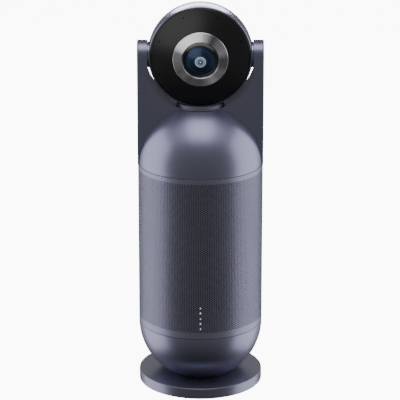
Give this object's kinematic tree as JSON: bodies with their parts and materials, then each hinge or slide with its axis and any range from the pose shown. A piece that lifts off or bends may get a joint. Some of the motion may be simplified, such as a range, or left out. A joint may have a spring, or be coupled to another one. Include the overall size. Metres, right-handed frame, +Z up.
{
  "type": "ptz camera",
  "caption": "Pan and tilt table camera: a lens head in a fork on a dome that turns on a tall perforated loudspeaker body with a round foot.",
  "frame": {"origin": "on the table, under the middle of the round foot", "axes": "+Z up along the pan axis, the lens looks along -Y, the tilt axis runs along X"},
  "size_m": [0.112, 0.112, 0.353],
  "materials": {
    "foot_metal": "satin",
    "pad_rubber": "matte",
    "screw_steel": "satin",
    "motor_steel": "satin",
    "housing_paint": "satin metallic paint",
    "grille_paint": "satin metallic paint",
    "black_plastic": "matte",
    "bearing_brass": "machined",
    "white_plastic": "natural acetal",
    "lamp_white": "frosted",
    "circuit_board": "solder mask",
    "cloth": "woven",
    "front_glass": "gloss black",
    "lens_glass": "coated",
    "ring_steel": "turned"
  },
  "bodies": {
    "stand": {"foot_disc": "foot_metal", "foot_pad": "pad_rubber", "foot_screws": "screw_steel", "lower_bowl": "housing_paint", "port_plate": "black_plastic", "usb_socket": "motor_steel", "power_socket": "black_plastic", "pillars": "bearing_brass", "main_board": "circuit_board", "lower_deck": "black_plastic", "deck_screws": "screw_steel", "sound_diffuser": "black_plastic", "speaker_box": "black_plastic", "speaker_basket": "black_plastic", "speaker_magnet": "motor_steel", "speaker_cone": "cloth", "speaker_surround": "pad_rubber", "passive_radiator": "pad_rubber", "tie_rods": "screw_steel", "grille_sleeve": "grille_paint", "acoustic_cloth": "cloth", "lamp_board": "circuit_board", "lamps": "lamp_white", "upper_deck": "black_plastic", "pan_spindle": "screw_steel", "thrust_washer": "white_plastic", "pan_retainer": "screw_steel", "pan_motor": "motor_steel"},
    "pinion": {"pan_pinion": "bearing_brass"},
    "turret": {"turret_housing": "housing_paint", "arm_cover_left": "housing_paint", "arm_cover_right": "housing_paint", "saddle_pad": "housing_paint", "turret_plate": "black_plastic", "turret_screws": "screw_steel", "pan_gear": "white_plastic", "pan_bushing": "bearing_brass", "tilt_motor": "motor_steel", "motor_bracket": "black_plastic", "tilt_belt": "pad_rubber", "tilt_bush_left": "bearing_brass", "tilt_bush_right": "bearing_brass", "encoder_board": "circuit_board"},
    "motor_pulley": {"tilt_pulley": "bearing_brass"},
    "head": {"head_shell": "housing_paint", "front_glass": "front_glass", "steel_ring": "ring_steel", "lens_ring": "black_plastic", "front_lens": "lens_glass", "rear_lens": "lens_glass", "lens_barrel": "black_plastic", "image_sensor": "black_plastic", "sensor_board": "circuit_board", "microphone_board": "circuit_board", "microphones": "black_plastic", "hub_left": "motor_steel", "hub_right": "motor_steel", "head_pulley": "bearing_brass", "head_chassis": "black_plastic", "hub_screws": "screw_steel"}
  },
  "joints": [
    {"name": "pan", "type": "hinge", "parent": "stand", "child": "turret", "pos_m": [0, 0, 0.2075], "axis": [0, 0, 1], "range_deg": [-170, 170]},
    {"name": "tilt", "type": "hinge", "parent": "turret", "child": "head", "pos_m": [0, 0, 0.3063], "axis": [-1, 0, 0], "range_deg": [-30, 90]},
    {"name": "pinion_spin", "type": "hinge", "parent": "stand", "child": "pinion", "pos_m": [0, 0.024, 0.2095], "axis": [0, 0, 1], "range_deg": [-510, 510]},
    {"name": "motor_pulley_spin", "type": "hinge", "parent": "turret", "child": "motor_pulley", "pos_m": [0.05, 0, 0.2266], "axis": [-1, 0, 0], "range_deg": [-60, 180]}
  ],
  "couplings": [
    {"joint": "pinion_spin", "follows": "pan", "ratio": -3},
    {"joint": "motor_pulley_spin", "follows": "tilt", "ratio": 2}
  ]
}
